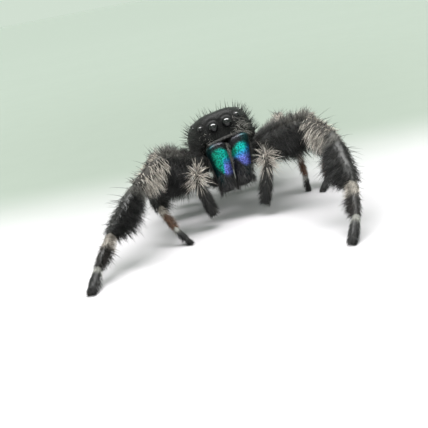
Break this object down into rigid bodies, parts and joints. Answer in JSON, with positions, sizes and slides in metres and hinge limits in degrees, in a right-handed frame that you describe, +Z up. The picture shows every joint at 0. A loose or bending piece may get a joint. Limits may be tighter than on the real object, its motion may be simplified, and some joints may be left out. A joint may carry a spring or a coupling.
{
  "type": "jumping spider",
  "caption": "Still, life-size jumping spider standing with its front legs spread wide, with black and grey hair, large front eyes and iridescent green jaws.",
  "frame": {"origin": "on the floor, at the middle of the box round the whole animal", "axes": "+Z up, the spider faces -Y, so its left side is at +X"},
  "size_m": [0.0172, 0.024, 0.0071],
  "materials": {
    "black_cuticle": "black cuticle, satin, with sparse bristles",
    "black_coat": "dense black hair, matt",
    "grey_coat": "pale grey hair over black cuticle",
    "abdomen_coat": "short black hair with pale spots",
    "iridescent_green": "iridescent green, blue and violet scales",
    "eye_lens": "polished black lens"
  },
  "bodies": {
    "root": {"abdomen": "abdomen_coat", "carapace": "black_cuticle", "chelicera_left": "iridescent_green", "chelicera_right": "iridescent_green", "eye_front_middle_left": "eye_lens", "eye_front_middle_right": "eye_lens", "eye_front_side_left": "eye_lens", "eye_front_side_right": "eye_lens", "eye_rear_middle_left": "eye_lens", "eye_rear_middle_right": "eye_lens", "eye_rear_side_left": "eye_lens", "eye_rear_side_right": "eye_lens", "leg_left_1_femur": "black_coat", "leg_left_1_metatarsus": "black_coat", "leg_left_1_patella": "grey_coat", "leg_left_1_tarsus": "black_coat", "leg_left_1_tibia": "black_coat", "leg_left_2_femur": "black_coat", "leg_left_2_metatarsus": "black_coat", "leg_left_2_patella": "grey_coat", "leg_left_2_tarsus": "black_coat", "leg_left_2_tibia": "black_coat", "leg_left_3_femur": "black_coat", "leg_left_3_metatarsus": "black_coat", "leg_left_3_patella": "grey_coat", "leg_left_3_tarsus": "black_coat", "leg_left_3_tibia": "black_coat", "leg_left_4_femur": "black_coat", "leg_left_4_metatarsus": "black_coat", "leg_left_4_patella": "grey_coat", "leg_left_4_tarsus": "black_coat", "leg_left_4_tibia": "black_coat", "leg_right_1_femur": "black_coat", "leg_right_1_metatarsus": "black_coat", "leg_right_1_patella": "grey_coat", "leg_right_1_tarsus": "black_coat", "leg_right_1_tibia": "black_coat", "leg_right_2_femur": "black_coat", "leg_right_2_metatarsus": "black_coat", "leg_right_2_patella": "grey_coat", "leg_right_2_tarsus": "black_coat", "leg_right_2_tibia": "black_coat", "leg_right_3_femur": "black_coat", "leg_right_3_metatarsus": "black_coat", "leg_right_3_patella": "grey_coat", "leg_right_3_tarsus": "black_coat", "leg_right_3_tibia": "black_coat", "leg_right_4_femur": "black_coat", "leg_right_4_metatarsus": "black_coat", "leg_right_4_patella": "grey_coat", "leg_right_4_tarsus": "black_coat", "leg_right_4_tibia": "black_coat", "mouthparts": "black_cuticle", "palp_left_arm": "grey_coat", "palp_left_bulb": "black_coat", "palp_right_arm": "grey_coat", "palp_right_bulb": "black_coat", "pedicel": "black_cuticle", "spinnerets": "black_coat", "sternum": "black_cuticle"}
  },
  "joints": []
}
